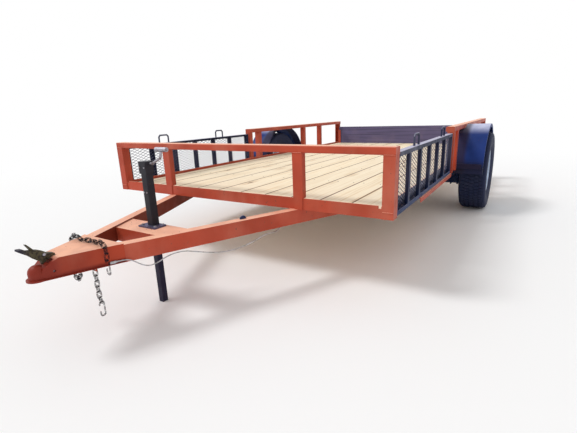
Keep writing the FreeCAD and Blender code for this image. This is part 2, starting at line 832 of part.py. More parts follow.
# A fixed hanger carries each front eye, and a pair of shackle plates each rear eye.
def spring_hangers():
    inner = spring_width / 2 + 1.0
    outer = inner + hanger_wall
    bolt_long = 2 * outer + 16
    y = axle_y - spring_half
    half = hanger_wide / 2
    bottom = spring_eye_z - eye_radius - 4
    block = box(spring_x - outer, spring_x + outer, y - half, y + half, bottom, frame_bottom)
    slot = box(spring_x - inner, spring_x + inner, y - half, y + half, bottom, frame_bottom - hanger_wall)
    bolt = hexagon(spring_x - bolt_long / 2, y, spring_eye_z, eye_bolt, bolt_long)
    front = fuse([block.cut(slot), bolt])
    eye = Vector(0, axle_y + spring_half, spring_eye_z)
    lean = math.asin((frame_bottom - eye_radius - 6 - spring_eye_z) / shackle_long)
    pivot = eye + Vector(0, shackle_long * math.cos(lean), shackle_long * math.sin(lean))
    wide = shackle_wide / 2
    corner = wide * (1 - math.tan(math.pi / 8))
    outline = [(-wide, -wide + corner), (-wide + corner, -wide), (shackle_long + wide - corner, -wide),
               (shackle_long + wide, -wide + corner), (shackle_long + wide, wide - corner),
               (shackle_long + wide - corner, wide), (-wide + corner, wide), (-wide, wide - corner)]
    links = []
    for x in (spring_x - outer, spring_x + inner):
        plate = prism([(x, u, v) for u, v in outline], Vector(hanger_wall, 0, 0))
        plate.rotate(Vector(0, 0, 0), X_AXIS, math.degrees(lean))
        plate.translate(eye)
        links.append(plate)
    for end in (eye, pivot):
        links.append(hexagon(spring_x - bolt_long / 2, end.y, end.z, eye_bolt, bolt_long))
    boss = box(spring_x - inner + 1, spring_x + inner - 1, pivot.y - half / 2, pivot.y + half / 2,
               pivot.z - eye_radius, frame_bottom)
    links.append(boss)
    return both_sides(Part.makeCompound([front, fuse(links)]))


def axle_clamps():
    offset = spring_width / 2 + clamp_rod + 0.5
    bend = beam_radius + clamp_rod + running_gap
    half = offset + clamp_rod + clamp_margin
    reach = bend + clamp_rod + clamp_margin
    plate_z = spring_top(reach) + running_gap
    top = plate_z + clamp_plate + 14
    pieces = [box(spring_x - half, spring_x + half, axle_y - reach, axle_y + reach, plate_z,
                  plate_z + clamp_plate)]
    corner = bend * math.tan(math.pi / 8)
    for side in (-1, 1):
        x = spring_x + side * offset
        pieces.append(bent_rod([(x, axle_y - bend, top), (x, axle_y - bend, beam_z - corner),
                                (x, axle_y - corner, beam_z - bend), (x, axle_y + corner, beam_z - bend),
                                (x, axle_y + bend, beam_z - corner), (x, axle_y + bend, top)], clamp_rod, 6))
    return both_sides(fuse(pieces))


# Wheel: tyre, spoked steel rim and hub, each a profile turned about the axle's line.
# The profiles give distances out from the wheel's centre plane, and radii.
def turned(points):
    corners = [Vector(wheel_x + x, axle_y, axle_z + r) for x, r in points + points[:1]]
    return Part.Face(Part.makePolygon(corners)).revolve(Vector(wheel_x, axle_y, axle_z), X_AXIS, 360)


def around_wheel(shape, count):
    copies = []
    for i in range(count):
        copy = shape.copy()
        copy.rotate(Vector(wheel_x, axle_y, axle_z), X_AXIS, 360.0 * i / count)
        copies.append(copy)
    return copies


def tyre():
    half = tyre_width / 2
    r = tyre_radius
    seat = rim_radius + running_gap
    flange_top = rim_radius + rim_flange_tall + running_gap
    wall_foot = bead_half + rim_flange_wide
    bead = bead_half - running_gap
    one_side = [(half * 0.8, r), (half, r - 28), (half, r - 95), (wall_foot, flange_top), (bead, flange_top),
                (bead, seat)]
    return turned(one_side + [(-x, radius) for x, radius in reversed(one_side)])


def rim():
    seat = rim_radius
    top = seat + rim_flange_tall
    edge = bead_half + rim_flange_wide
    wall = 4.0
    one_side = [(edge, seat - wall), (edge, top), (bead_half, top), (bead_half, seat)]
    barrel = turned(one_side + [(-x, radius) for x, radius in reversed(one_side)])
    x0 = disc_offset
    bore = hub_cap_radius + 3
    face = [(x0, bore), (x0, 84), (x0 + disc_dish, 112), (x0 + disc_dish, seat - wall)]
    back = [(x + disc_thick, radius) for x, radius in reversed(face)]
    disc = turned(face + back)
    x1 = wheel_x + x0
    window = prism([(x1, axle_y - 26, axle_z + 164), (x1, axle_y + 26, axle_z + 164),
                    (x1, axle_y + 15, axle_z + 122), (x1, axle_y - 15, axle_z + 122)],
                   Vector(disc_dish + disc_thick, 0, 0))
    return fuse([barrel, disc.cut(Part.makeCompound(around_wheel(window, window_count)))])


def hub():
    face = disc_offset
    back = face - hub_flange_thick
    cap_end = face + hub_cap_long
    bore = spindle_radius + running_gap
    tip = face + hub_cap_long / 2 + 4
    body = turned([(-hub_reach, bore), (-hub_reach, hub_radius), (back, hub_radius),
                   (back, hub_flange_radius), (face, hub_flange_radius), (face, hub_cap_radius),
                   (cap_end, hub_cap_radius - 8), (cap_end, 0), (tip, 0), (tip, bore)])
    nut = hexagon(wheel_x + face + disc_thick, axle_y, axle_z + stud_circle / 2, nut_radius, nut_long)
    return Part.makeCompound([body] + around_wheel(nut, stud_count))


def hexagon(x, y, z, radius, length):
    corners = []
    for i in range(6):
        angle = math.pi * i / 3
        corners.append((x, y + radius * math.cos(angle), z + radius * math.sin(angle)))
    return prism(corners, Vector(length, 0, 0))


# Fender: a round steel arch with a turned-down outer edge. It reaches in under the
# side rail, is notched round the rail, and stands on two braces from the side sill.
def fender():
    r = fender_radius
    x0 = sill_face - wheel_x
    x1 = bed_half + fender_width - wheel_x
    ring = turned([(x0, r - fender_thick), (x0, r), (x1, r), (x1, r - fender_skirt),
                   (x1 - fender_thick, r - fender_skirt), (x1 - fender_thick, r - fender_thick)])
    arch = ring.common(box(0, 2 * bed_half, axle_y - 2 * r, axle_y + 2 * r, fender_foot_z, axle_z + r))
    return arch.cut(box(0, bed_half, axle_y - r, axle_y + r, side_rail_top - rail_tall, side_rail_top))


def fender_braces():
    r = fender_radius
    braces = []
    for side in (-1, 1):
        y0, y1 = sorted((axle_y + side * (r + brace_thick), axle_y + side * (r - 8)))
        bar = box(sill_face, bed_half + fender_width - 12, y0, y1, frame_bottom, frame_bottom + brace_tall)
        braces.append(bar.cut(rod(0, axle_y, axle_z, r, 2 * bed_half, X_AXIS)))
    return both_sides(Part.makeCompound(braces))


# Tail lamps: a rounded lens on a plate that hangs from the rear sill.
def lamp_brackets():
    x0 = lamp_x - lamp_wide / 2
    y1 = bed_length - angle_wall - lamp_deep
    plate = box(x0, x0 + lamp_wide, y1 - lamp_plate, y1, frame_bottom - lamp_drop - lamp_tall, frame_bottom)
    return both_sides(plate)


def tail_lamp():
    x0 = lamp_x - lamp_wide / 2
    y0 = bed_length - angle_wall - lamp_deep
    z1 = frame_bottom - lamp_drop
    lens = box(x0, x0 + lamp_wide, y0, y0 + lamp_deep, z1 - lamp_tall, z1)
    return lens.makeFillet(lamp_corner, edges_along(lens, Y_AXIS))


os.makedirs("parts", exist_ok=True)
front = end_sill(angle_wall, 1)
rear = end_sill(bed_length - angle_wall, -1)
save("front_sill", front)
save("rear_sill", rear)
save_pair("side_sill", side_sill(front, rear))
save("crossmembers", crossmembers())
save("deck_planks", deck())
save("front_rail", front_rail())
save("front_posts", front_posts())
save("rail_caps", rail_caps())
save_pair("side_rail", side_rail())
save_pair("side_posts", side_posts())
save("ramp_frame_left", ramp_frame(left_handles))
save("ramp_frame_right", other_side(ramp_frame(right_handles)))
save_pair("ramp_mesh", ramp_mesh())
save_pair("ramp_ledge", ramp_ledge())
save("board_brackets", board_brackets(rear))
save("rear_board", rear_board())
save_pair("tongue_beam", tongue_beam())
save("jack_bridge", jack_bridge())
save("coupler_body", coupler_body())
save("coupler_latch", coupler_latch())
save("safety_chain_left", safety_chain(left_chain))
save("safety_chain_right", safety_chain(right_chain))
save("harness_cord", harness_cord())
save("harness_plug", harness_plug())
save("jack_sleeve", jack_sleeve())
save("jack_collar", jack_collar())
save("jack_crank", jack_crank())
save("jack_leg", jack_leg())
save("axle", axle())
save_pair("leaf_spring", leaf_spring())
save("spring_hangers", spring_hangers())
save("axle_clamps", axle_clamps())
save_pair("tyre", tyre())
save_pair("rim", rim())
save_pair("hub", hub())
save_pair("fender", fender())
save("fender_braces", fender_braces())
save("lamp_brackets", lamp_brackets())
save_pair("tail_lamp", tail_lamp())
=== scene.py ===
import bpy
import bmesh
import math
from mathutils import Matrix, Vector


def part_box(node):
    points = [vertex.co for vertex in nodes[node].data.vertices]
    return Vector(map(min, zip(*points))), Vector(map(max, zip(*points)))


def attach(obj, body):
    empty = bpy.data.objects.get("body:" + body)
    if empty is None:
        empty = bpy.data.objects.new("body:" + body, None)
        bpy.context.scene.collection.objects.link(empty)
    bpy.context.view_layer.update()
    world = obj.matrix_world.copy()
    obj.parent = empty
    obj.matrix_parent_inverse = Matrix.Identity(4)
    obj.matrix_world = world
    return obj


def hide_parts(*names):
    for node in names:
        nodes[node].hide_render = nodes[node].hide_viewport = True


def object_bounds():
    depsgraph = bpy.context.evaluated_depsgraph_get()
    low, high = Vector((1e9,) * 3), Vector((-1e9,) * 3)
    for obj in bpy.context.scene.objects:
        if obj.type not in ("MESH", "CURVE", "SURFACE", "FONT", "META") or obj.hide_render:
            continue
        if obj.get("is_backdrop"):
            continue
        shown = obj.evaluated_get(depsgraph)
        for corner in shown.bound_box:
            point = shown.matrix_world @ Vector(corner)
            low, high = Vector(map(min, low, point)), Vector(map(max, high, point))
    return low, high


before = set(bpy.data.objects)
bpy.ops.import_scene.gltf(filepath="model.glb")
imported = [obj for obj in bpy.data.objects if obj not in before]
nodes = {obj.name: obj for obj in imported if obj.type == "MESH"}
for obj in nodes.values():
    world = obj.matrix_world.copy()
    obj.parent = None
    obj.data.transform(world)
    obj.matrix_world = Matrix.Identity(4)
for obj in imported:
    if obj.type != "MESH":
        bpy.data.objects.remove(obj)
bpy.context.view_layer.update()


# Camera: a wide lens at an adult's chest, beside the coupler, tipped down at the bed
# and leaning a little. Its place is given from the front face of the bed, in metres.
bed_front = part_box("front_posts")[0].y
camera_place = Vector((1.51452, bed_front - 1.68215, 0.90905))
camera_turn = -0.569306
camera_dip = 0.266112
camera_lean = -0.036624
lens_mm = 23.556

ahead = Vector((math.sin(camera_turn) * math.cos(camera_dip),
                math.cos(camera_turn) * math.cos(camera_dip),
                -math.sin(camera_dip)))
level_right = ahead.cross(Vector((0, 0, 1))).normalized()
level_up = level_right.cross(ahead)
right = level_right * math.cos(camera_lean) + level_up * math.sin(camera_lean)
up = level_up * math.cos(camera_lean) - level_right * math.sin(camera_lean)
camera = bpy.data.objects.new("camera", bpy.data.cameras.new("camera"))
bpy.context.scene.collection.objects.link(camera)
camera.data.lens = lens_mm
camera.data.clip_end = 500
camera.matrix_world = Matrix.Translation(camera_place) @ Matrix((right, up, -ahead)).transposed().to_4x4()
bpy.context.scene.camera = camera
bpy.context.scene.view_settings.view_transform = "Standard"


# Lamp harness: one grey cable that drops out of the left tongue beam, swags twice
# under it and ends in a flat four-way plug on the coupler's flange. Its sheath is the
# first finish in the file, so the sums that all the finishes use stand here.
class Field:
    """One value over a surface: a shader socket that can be used in sums."""

    def __init__(self, socket):
        self.socket = socket

    def node(self, kind, settings, inputs, output=0):
        added = self.socket.id_data.nodes.new(kind)
        for key, value in settings.items():
            setattr(added, key, value)
        for key, value in inputs.items():
            if isinstance(value, Field):
                self.socket.id_data.links.new(value.socket, added.inputs[key])
            else:
                added.inputs[key].default_value = value
        return Field(added.outputs[output])

    def maths(self, operation, first, second):
        return self.node("ShaderNodeMath", {"operation": operation}, {0: first, 1: second})

    def __add__(self, other):
        return self.maths("ADD", self, other)

    def __sub__(self, other):
        return self.maths("SUBTRACT", self, other)

    def __rsub__(self, other):
        return self.maths("SUBTRACT", other, self)

    def __mul__(self, other):
        return self.maths("MULTIPLY", self, other)

    def __truediv__(self, other):
        return self.maths("DIVIDE", self, other)

    __radd__ = __add__
    __rmul__ = __mul__

    def higher(self, other):
        return self.maths("MAXIMUM", self, other)

    def noise(self, scale, detail=3.0, stretch=(1, 1, 1)):
        spread = self.node("ShaderNodeMapping", {}, {"Vector": self, "Scale": stretch})
        return self.node("ShaderNodeTexNoise", {}, {"Vector": spread, "Scale": scale, "Detail": detail})

    def between(self, low, high):
        return self.node("ShaderNodeMapRange", {"interpolation_type": "SMOOTHSTEP"},
                         {"Value": self, "From Min": low, "From Max": high})

    def blend(self, first, second):
        return self.node("ShaderNodeMix", {"data_type": "RGBA"}, {"Factor": self, 6: first, 7: second}, 2)

    def part(self, axis):
        return self.node("ShaderNodeSeparateXYZ", {}, {0: self}, "XYZ".index(axis))


def shade(red, green, blue):
    return (red, green, blue, 1.0)


class Finish:
    """A material with its shader, and the piece's own coordinates and normal as fields."""

    def __init__(self, name):
        self.material = bpy.data.materials.new(name)
        self.material.use_nodes = True
        tree = self.material.node_tree
        self.shader = tree.nodes["Principled BSDF"]
        coordinates = tree.nodes.new("ShaderNodeTexCoord")
        self.place = Field(coordinates.outputs["Object"])
        self.facing = Field(coordinates.outputs["Normal"])

    def feed(self, name, value):
        if isinstance(value, Field):
            self.material.node_tree.links.new(value.socket, self.shader.inputs[name])
        else:
            self.shader.inputs[name].default_value = value

    def tint(self, mask, colour):
        painted = Field(self.shader.inputs["Base Color"].links[0].from_socket)
        self.feed("Base Color", mask.blend(painted, colour))

    def raise_by(self, height, strength, distance):
        bump = height.node("ShaderNodeBump", {}, {"Height": height, "Strength": strength,
                                                  "Distance": distance})
        self.feed("Normal", bump)


def make_piece(name, shape, finish):
    piece = bpy.data.objects.new(name, bpy.data.meshes.new(name))
    shape.to_mesh(piece.data)
    shape.free()
    bpy.context.scene.collection.objects.link(piece)
    piece.data.materials.append(finish.material)
    return piece


harness_route = [(0.436, -0.085, 0.3319), (0.434, -0.092, 0.320), (0.429, -0.108, 0.310),
                 (0.421, -0.136, 0.311), (0.413, -0.170, 0.313), (0.402, -0.210, 0.306),
                 (0.383, -0.262, 0.290), (0.357, -0.322, 0.277), (0.328, -0.384, 0.273),
                 (0.300, -0.440, 0.280), (0.275, -0.494, 0.296), (0.256, -0.538, 0.312),
                 (0.240, -0.576, 0.324), (0.224, -0.618, 0.326), (0.206, -0.660, 0.316),
                 (0.190, -0.694, 0.298), (0.175, -0.727, 0.294), (0.163, -0.757, 0.312),
                 (0.156, -0.783, 0.336), (0.1473, -0.807, 0.3483), (0.1374, -0.832, 0.3483)]
harness_thick = 0.005
cable = bpy.data.curves.new("harness_cable", "CURVE")
cable.dimensions = "3D"
cable.bevel_depth = harness_thick / 2
cable.bevel_resolution = 4
cable.resolution_u = 8
cable.use_fill_caps = True
line = cable.splines.new("NURBS")
line.points.add(len(harness_route) - 1)
for point, (x, y, z) in zip(line.points, harness_route):
    point.co = (x, y + bed_front, z, 1.0)
line.order_u = 3
line.use_endpoint_u = True
harness = bpy.data.objects.new("harness_cable", cable)
bpy.context.scene.collection.objects.link(harness)
sheath = Finish("cable_sheath")
grime = sheath.place.noise(60.0, 5.0).between(0.4, 0.75)
sheath.feed("Base Color", grime.blend(shade(0.50, 0.50, 0.53), shade(0.26, 0.24, 0.22)))
sheath.feed("Roughness", grime * 0.25 + 0.42)
sheath.raise_by(sheath.place.noise(900.0, 3.0), 0.15, 0.0003)
cable.materials.append(sheath.material)

plug_end = Vector(harness_route[-1]) + Vector((0, bed_front, 0))
plug_way = plug_end - Vector(harness_route[-2]) - Vector((0, bed_front, 0))
plug_turn = Matrix.Translation(plug_end) @ plug_way.to_track_quat("Y", "Z").to_matrix().to_4x4()
plug_long = 0.036
block_size = (0.0078, 0.023, 0.0098)
relief_long = 0.014
relief_thin = 0.0027
relief_thick = 0.0038
ring_apart = 0.003
ring_radius = 0.0036
ring_wide = 0.0012
moulding = bmesh.new()
bmesh.ops.create_cube(moulding, size=1.0)
bmesh.ops.scale(moulding, verts=moulding.verts, vec=block_size)
bmesh.ops.translate(moulding, verts=moulding.verts, vec=(0, plug_long - block_size[1] / 2, 0))
bmesh.ops.bevel(moulding, geom=list(moulding.edges), affect="EDGES", offset=0.0018, segments=3,
                profile=0.5, material=-1)
relief = bmesh.ops.create_cone(moulding, cap_ends=True, segments=16, radius1=relief_thin,
                               radius2=relief_thick, depth=relief_long)
bmesh.ops.rotate(moulding, verts=relief["verts"], matrix=Matrix.Rotation(math.radians(-90), 3, "X"))
bmesh.ops.translate(moulding, verts=relief["verts"], vec=(0, relief_long / 2, 0))
for ring in range(3):
    collar = bmesh.ops.create_cone(moulding, cap_ends=True, segments=16, radius1=ring_radius,
                                   radius2=ring_radius, depth=ring_wide)
    bmesh.ops.rotate(moulding, verts=collar["verts"], matrix=Matrix.Rotation(math.radians(90), 3, "X"))
    bmesh.ops.translate(moulding, verts=collar["verts"], vec=(0, ring_apart * (ring + 1), 0))
bmesh.ops.transform(moulding, matrix=plug_turn, verts=moulding.verts)
plug = make_piece("harness_moulding", moulding, sheath)
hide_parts("harness_cord")
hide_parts("harness_plug")
for piece in (harness, plug):
    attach(piece, "chassis")


# Bed frame, rails, posts, tongue and coupler: mild steel brushed with orange-red
# enamel. A painted highlight lifts what faces up, painted shade darkens what faces away
# from the front, and stones have chipped it to primer.
def wear(finish, *worn):
    for node in worn:
        nodes[node].data.materials.clear()
        nodes[node].data.materials.append(finish.material)


def enamel(name, coat, painted_highlight, primer, chipped, highlight_strength, rough, highlight_from=0.5, shine=0.35):
    paint = Finish(name)
    mottle = paint.place.noise(3.5, 5.0).between(0.35, 0.65)
    # Painted highlight: faces that turn up are blended toward a pale colour, standing in for the light that
    # falls on them.
    painted_top_light = paint.facing.part("Z").between(highlight_from, 1.0)
    patchy = paint.place.noise(14.0, 6.0).between(0.3, 0.7)
    streak = paint.place.noise(5.0, 6.0, (1, 1, 0.45)).between(0.45, 0.75)
    deep = shade(*[c * 0.8 for c in coat])
    worn = shade(*[c * 0.72 + f * 0.28 for c, f in zip(coat, painted_highlight)])
    colour = mottle.blend(shade(*coat), deep)
    colour = (streak * 0.4).blend(colour, worn)
    colour = (painted_top_light * (patchy * 0.25 + 0.75) * highlight_strength).blend(colour, shade(*painted_highlight))
    chips = paint.place.noise(85.0, 8.0).between(chipped, chipped + 0.025)
    nicks = paint.place.noise(6.0, 2.0).between(0.45, 0.6) * chips
    # Painted shade: faces turned toward +X and away from the front are darkened as if in shade.
    painted_lee_shade = paint.facing.part("X").between(0.3, 0.7) * paint.facing.part("Y").between(-0.1, 0.3)
    colour = (painted_lee_shade * 0.88).blend(colour, shade(*[c * 0.25 for c in coat]))
    colour = nicks.blend(colour, shade(*primer))
    paint.feed("Base Color", colour)
    paint.feed("Roughness", (patchy * 0.2 + rough) + nicks * 0.3)
    paint.feed("Specular IOR Level", shine)
    paint.raise_by(paint.place.noise(240.0, 3.0) * 0.4 + (1 - nicks), 0.22, 0.0012)
    return paint


fresh_orange = (0.50, 0.063, 0.024)
# The pale colour that the painted highlight lifts the orange toward.
painted_orange_highlight = (0.97, 0.53, 0.36)
rusted_primer = (0.16, 0.07, 0.045)
orange = enamel("orange_enamel", fresh_orange, painted_orange_highlight, rusted_primer,
                chipped=0.66, highlight_strength=0.94, rough=0.40)
wear(orange, "front_sill", "rear_sill", "crossmembers", "front_rail", "front_posts", "rail_caps",
     "side_rail_left", "side_rail_right", "side_posts_left", "side_posts_right", "ramp_ledge_left",
     "ramp_ledge_right", "board_brackets", "tongue_beam_left", "tongue_beam_right", "jack_bridge",
     "lamp_brackets")


# Coupler: a pressed steel socket in the same enamel, rubbed with grease. Its sides run
# from the tongue's orange to maroon, darkest at the nose, with painted shade on the lip.
maroon = enamel("coupler_enamel", (0.34, 0.038, 0.016), painted_orange_highlight, (0.12, 0.05, 0.035),
                chipped=0.68, highlight_strength=0.94, rough=0.40, shine=0.2)
rearward = maroon.place.part("Y").between(bed_front - 0.96, bed_front - 0.86)
flank = 1 - maroon.facing.part("Z").between(0.3, 0.8)
maroon.tint(rearward * flank, shade(0.48, 0.060, 0.024))
nose = 1 - maroon.place.part("Y").between(bed_front - 1.045, bed_front - 1.010)
# Painted shade: the low lip is darkened to maroon.
lip_shade = 1 - maroon.place.part("Z").between(0.345, 0.360)
maroon.tint(nose.higher(lip_shade), shade(0.25, 0.028, 0.015))
wear(maroon, "coupler_body")


# Side sills: the bed's own orange steel. Their outward faces beside the ramps are
# painted near black as shade, as far back as the ramps reach.
sill_orange_shaded = enamel("sill_enamel_shaded", fresh_orange, painted_orange_highlight, rusted_primer,
                chipped=0.66, highlight_strength=0.94, rough=0.40)
# Painted shade: the outward faces beside the ramps go near black.
outward_shade = (sill_orange_shaded.facing.part("X") * sill_orange_shaded.place.part("X")).between(0.3, 0.6)
shade_beside_ramps = 1 - sill_orange_shaded.place.part("Y").between(bed_front + 1.40, bed_front + 1.50)
sill_orange_shaded.tint(outward_shade * shade_beside_ramps, shade(0.012, 0.014, 0.030))
wear(sill_orange_shaded, "side_sill_left", "side_sill_right")


# Deck: planed pine planks, screwed down to the crossmembers, gone pale in the sun.
# Each has its own grain and a few brown knots.
deck_low, deck_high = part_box("deck_planks")
plank_pitch = 0.1835
pine = Finish("pine")
across = pine.place.part("X")
from_edge = (deck_high.x - across) / plank_pitch
plank = from_edge.maths("FLOOR", from_edge, 0.0)
chance = plank.node("ShaderNodeTexWhiteNoise", {"noise_dimensions": "1D"}, {"W": plank})
shifted = plank.node("ShaderNodeCombineXYZ", {}, {0: across, 1: pine.place.part("Y") + chance * 7.0,
                                                  2: chance * 3.0})
grain = shifted.noise(1.0, 6.0, (70.0, 2.2, 1.0))
rings = shifted.noise(1.0, 2.0, (22.0, 0.9, 1.0))
knot_field = shifted.node("ShaderNodeMapping", {}, {"Vector": shifted, "Scale": (7.0, 2.1, 1.0)})
knot_far = shifted.node("ShaderNodeTexVoronoi", {}, {"Vector": knot_field, "Scale": 1.0})
knots = 1 - knot_far.between(0.045, 0.10)
halo = 1 - knot_far.between(0.08, 0.30)
early_wood = shade(1.0, 0.85, 0.62)
late_wood = shade(0.86, 0.66, 0.42)
colour = grain.between(0.42, 0.68).blend(early_wood, late_wood)
colour = (rings.between(0.5, 0.62) * 0.45).blend(colour, shade(0.97, 0.84, 0.64))
colour = (chance * 0.35).blend(colour, shade(0.90, 0.78, 0.60))
colour = (halo * 0.40).blend(colour, shade(0.58, 0.36, 0.18))
along = from_edge - plank
plank_share = 0.9918
edge = (along * (plank_share - along)).between(0.014, 0.036)
colour = edge.blend(shade(0.20, 0.095, 0.040), colour)
colour = knots.blend(colour, shade(0.16, 0.07, 0.03))
scuffs = pine.place.noise(2.6, 6.0).between(0.55, 0.78)
colour = (scuffs * 0.22).blend(colour, shade(0.52, 0.42, 0.32))
pine.feed("Base Color", colour)
pine.feed("Roughness", grain * 0.2 + 0.55)
pine.raise_by(grain + knots * 0.5, 0.25, 0.0015)
wear(pine, "deck_planks")


# Side ramps: angle-iron frames and rungs in black enamel, tinted blue as painted sky shade,
# with a painted pale highlight along the top. The axle and its springs wear the same.
# Painted sky shade: the black is tinted blue.
black = enamel("black_enamel", (0.018, 0.023, 0.066), (0.60, 0.58, 0.74), (0.09, 0.06, 0.05),
               chipped=0.68, highlight_strength=0.85, rough=0.42, shine=0.2)
# Painted shade: everything low down, below about the deck's height, is tinted navy.
low_shade = 1 - black.place.part("Z").between(0.415, 0.480)
black.tint(low_shade * 0.8, shade(0.016, 0.036, 0.115))
wear(black, "ramp_frame_left", "ramp_frame_right", "axle", "leaf_spring_left", "leaf_spring_right",
     "spring_hangers", "axle_clamps")


# Jack: near-black enamel on the sleeve, and a plum tinge on the leg and on the
# fenders' braces.
dark_primer = (0.09, 0.05, 0.04)
jet = enamel("jack_enamel", (0.009, 0.008, 0.015), (0.05, 0.05, 0.07), dark_primer,
             chipped=0.66, highlight_strength=0.6, rough=0.42)
wear(jet, "jack_sleeve")
plum = enamel("leg_enamel", (0.017, 0.013, 0.042), (0.06, 0.05, 0.09), dark_primer,
              chipped=0.66, highlight_strength=0.6, rough=0.42, shine=0.2)
wear(plum, "jack_leg", "fender_braces")


# Ramp decks: expanded steel sheet welded to the rungs. Each strand zigzags along the
# ramp and is joined to the next at every turn, so that they leave long diamonds.
diamond_long = 0.047
diamond_tall = 0.0212
strand_wide = 0.0026
strand_deep = 0.0016
for side in ("left", "right"):
    low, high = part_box("ramp_mesh_" + side)
    columns = round((high.y - low.y) / diamond_long)
    rows = round((high.z - low.z) / diamond_tall)
    step_y = (high.y - low.y) / columns / 2
    step_z = (high.z - low.z) / rows / 2
    strands = bmesh.new()
    turn = Matrix.Translation((0, low.y, low.z)) @ Matrix.Rotation(math.radians(90), 4, "X")
    bmesh.ops.create_grid(strands, x_segments=1, y_segments=1, size=0.5, matrix=turn)
    bmesh.ops.scale(strands, verts=strands.verts, space=Matrix.Translation((0, 0, -low.z)),
                    vec=(strand_deep, 1, strand_wide))
    bmesh.ops.translate(strands, verts=strands.verts, vec=((low.x + high.x) / 2, 0, 0))
    edges = list(strands.edges)
    for step in range(2 * columns):
        grown = bmesh.ops.extrude_edge_only(strands, edges=edges)["geom"]
        edges = [g for g in grown if isinstance(g, bmesh.types.BMEdge)]
        ends = [g for g in grown if isinstance(g, bmesh.types.BMVert)]
        rise = step_z if step % 2 == 0 else -step_z
        bmesh.ops.translate(strands, verts=ends, vec=(0, step_y, rise))
    bmesh.ops.contextual_create(strands, geom=edges)
    first = list(strands.verts) + list(strands.edges) + list(strands.faces)
    turned = bmesh.ops.duplicate(strands, geom=first)["geom"]
    other = [g for g in turned if isinstance(g, bmesh.types.BMVert)]
    bmesh.ops.scale(strands, verts=other, space=Matrix.Translation((0, 0, -low.z)), vec=(1, 1, -1))
    bmesh.ops.translate(strands, verts=other, vec=(0, 0, 2 * step_z))
    bmesh.ops.recalc_face_normals(strands, faces=strands.faces)
    pair = list(strands.verts) + list(strands.edges) + list(strands.faces)
    for row in range(1, rows):
        copy = bmesh.ops.duplicate(strands, geom=pair)["geom"]
        bmesh.ops.translate(strands, verts=[g for g in copy if isinstance(g, bmesh.types.BMVert)],
                            vec=(0, 0, 2 * step_z * row))
    sheet = make_piece("ramp_sheet_" + side, strands, black)
    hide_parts("ramp_mesh_" + side)
    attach(sheet, "ramp_" + side)


# Fenders: rolled steel arches in deep blue enamel, the blue partly painted sky shade,
# with a painted pale highlight on top, painted shade along the bed and darker at the feet.
# Painted sky shade: the blue is deepened past the fenders' own blue-black.
navy = enamel("fender_enamel", (0.013, 0.038, 0.190), (0.64, 0.66, 0.86), (0.10, 0.05, 0.05),
              chipped=0.69, highlight_strength=0.95, rough=0.46, highlight_from=0.80, shine=0.12)
sideways = navy.place.part("X")
reach = sideways.maths("ABSOLUTE", sideways, 0.0)
# Painted shade along the inner edge, next to the bed.
inner_edge_shade = 1 - reach.between(1.045, 1.085)
navy.tint(inner_edge_shade * 0.75, shade(0.022, 0.011, 0.020))
# Darker towards the feet.
foot = 1 - navy.place.part("Z").between(0.40, 0.50)
navy.tint(foot * 0.85, shade(0.020, 0.019, 0.036))
wear(navy, "fender_left", "fender_right")


# Weld beads where the frame's members meet: rippled runs, laid at the foot of each
# joint that shows and painted over with the steel.
def weld(name, runs, thick, finish):
    bead = bpy.data.curves.new(name, "CURVE")
    bead.dimensions = "3D"
    bead.bevel_depth = thick
    bead.bevel_resolution = 1
    bead.use_fill_caps = True
    for start, end in runs:
        start = Vector(start)
        end = Vector(end)
        ripples = max(3, int((end - start).length / (0.9 * thick)))
        run = bead.splines.new("POLY")
        run.points.add(ripples)
        for i, point in enumerate(run.points):
            place = start.lerp(end, i / ripples)
            point.co = (place.x, place.y + bed_front, place.z, 1.0)
            point.radius = 1.0 if i % 2 == 0 else 0.72
    piece = bpy.data.objects.new(name, bead)
    bpy.context.scene.collection.objects.link(piece)
    bead.materials.append(finish.material)
    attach(piece, "chassis")


rail_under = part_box("front_rail")[0].z
side_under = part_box("side_rail_left")[0].z
bed_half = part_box("front_rail")[1].x
sill_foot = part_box("front_sill")[0].z
sill_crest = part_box("front_sill")[1].z
sill_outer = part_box("side_sill_left")[1].x
bridge_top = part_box("jack_bridge")[1].z
bead_inset = 0.004
bead_thick = 0.0032
post_inner = bed_half - 0.058
seam_top = sill_crest - 0.03
runs = [((post_inner + 0.001, 0.0, rail_under), (bed_half - bead_inset, 0.0, rail_under)),
        ((0.472, 0.0, rail_under), (0.530, 0.0, rail_under)),
        ((post_inner, bead_inset, sill_foot + bead_inset), (post_inner, bead_inset, sill_crest - 0.002)),
        ((post_inner + bead_inset, -0.0005, seam_top), (bed_half - bead_inset, -0.0005, seam_top)),
        ((0.445, 0.003, sill_foot), (0.501, 0.003, sill_foot)),
        ((0.158, -0.640, bridge_top), (0.2185, -0.502, bridge_top)),
        ((0.088, -0.804, sill_foot), (0.137, -0.804, sill_foot))]
for upright in (0.479, 0.527):
    runs.append(((upright, bead_inset, sill_foot + bead_inset),
                 (upright, bead_inset, sill_crest - 0.002)))
side_post_wide = 0.0508
for place in (1.5, 1.66, 2.63, 3.08):
    runs.append(((bed_half, place + 0.002, side_under), (bed_half, place + 0.049, side_under)))
    for edge in (place, place + side_post_wide):
        runs.append(((sill_outer, edge, sill_foot + bead_inset), (sill_outer, edge, sill_crest)))
axle_place = 2.185
axle_tall = 0.344
fender_arc = [(bed_half + 0.0005, axle_place + 0.417 * math.sin(turn / 40),
               axle_tall + 0.4165 * math.cos(turn / 40)) for turn in range(-15, 16)]
runs += zip(fender_arc, fender_arc[1:])
joints = [((side * x0, y0, z0), (side * x1, y1, z1))
          for side in (-1, 1) for (x0, y0, z0), (x1, y1, z1) in runs]
weld("frame_welds", joints, bead_thick, orange)


